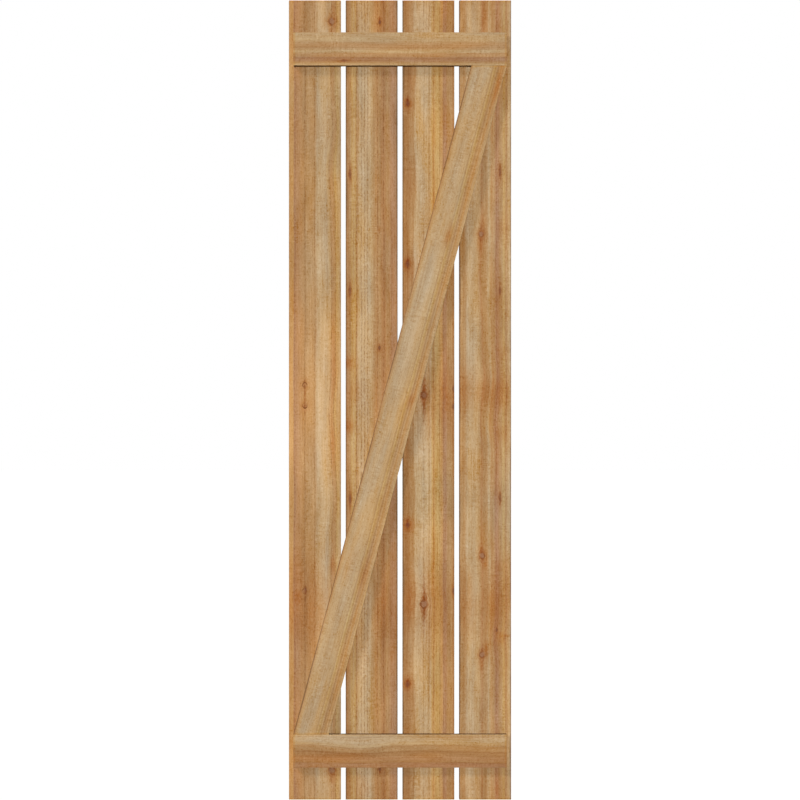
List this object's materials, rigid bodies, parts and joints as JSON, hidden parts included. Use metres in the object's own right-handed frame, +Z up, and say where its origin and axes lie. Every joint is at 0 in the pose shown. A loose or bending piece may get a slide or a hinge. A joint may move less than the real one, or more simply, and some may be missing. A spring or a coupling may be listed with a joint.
{
  "type": "board and batten shutter",
  "caption": "Tall cedar shutter of spaced upright boards joined by top and bottom battens and a fitted diagonal brace, fixed flat to a wall beside a window or door.",
  "frame": {"origin": "on the wall plane at the back of the boards, at mid-height, on the centre line of the inner left board; the shutter's own centre line is 76.2 mm towards +X, in the open slot beside that board", "axes": "+X to the right of someone facing the front, +Y out of the back into the wall, +Z up; the front faces -Y"},
  "size_m": [0.5969, 0.0444, 2.1464],
  "materials": {
    "rough_sawn_cedar": "rough sawn, unfinished, knotty",
    "screws": "dull zinc-plated steel, on the back only"
  },
  "bodies": {
    "root": {"outer_left_board": "rough_sawn_cedar", "inner_left_board": "rough_sawn_cedar", "inner_right_board": "rough_sawn_cedar", "outer_right_board": "rough_sawn_cedar", "top_batten": "rough_sawn_cedar", "bottom_batten": "rough_sawn_cedar", "diagonal_brace": "rough_sawn_cedar"}
  },
  "joints": []
}
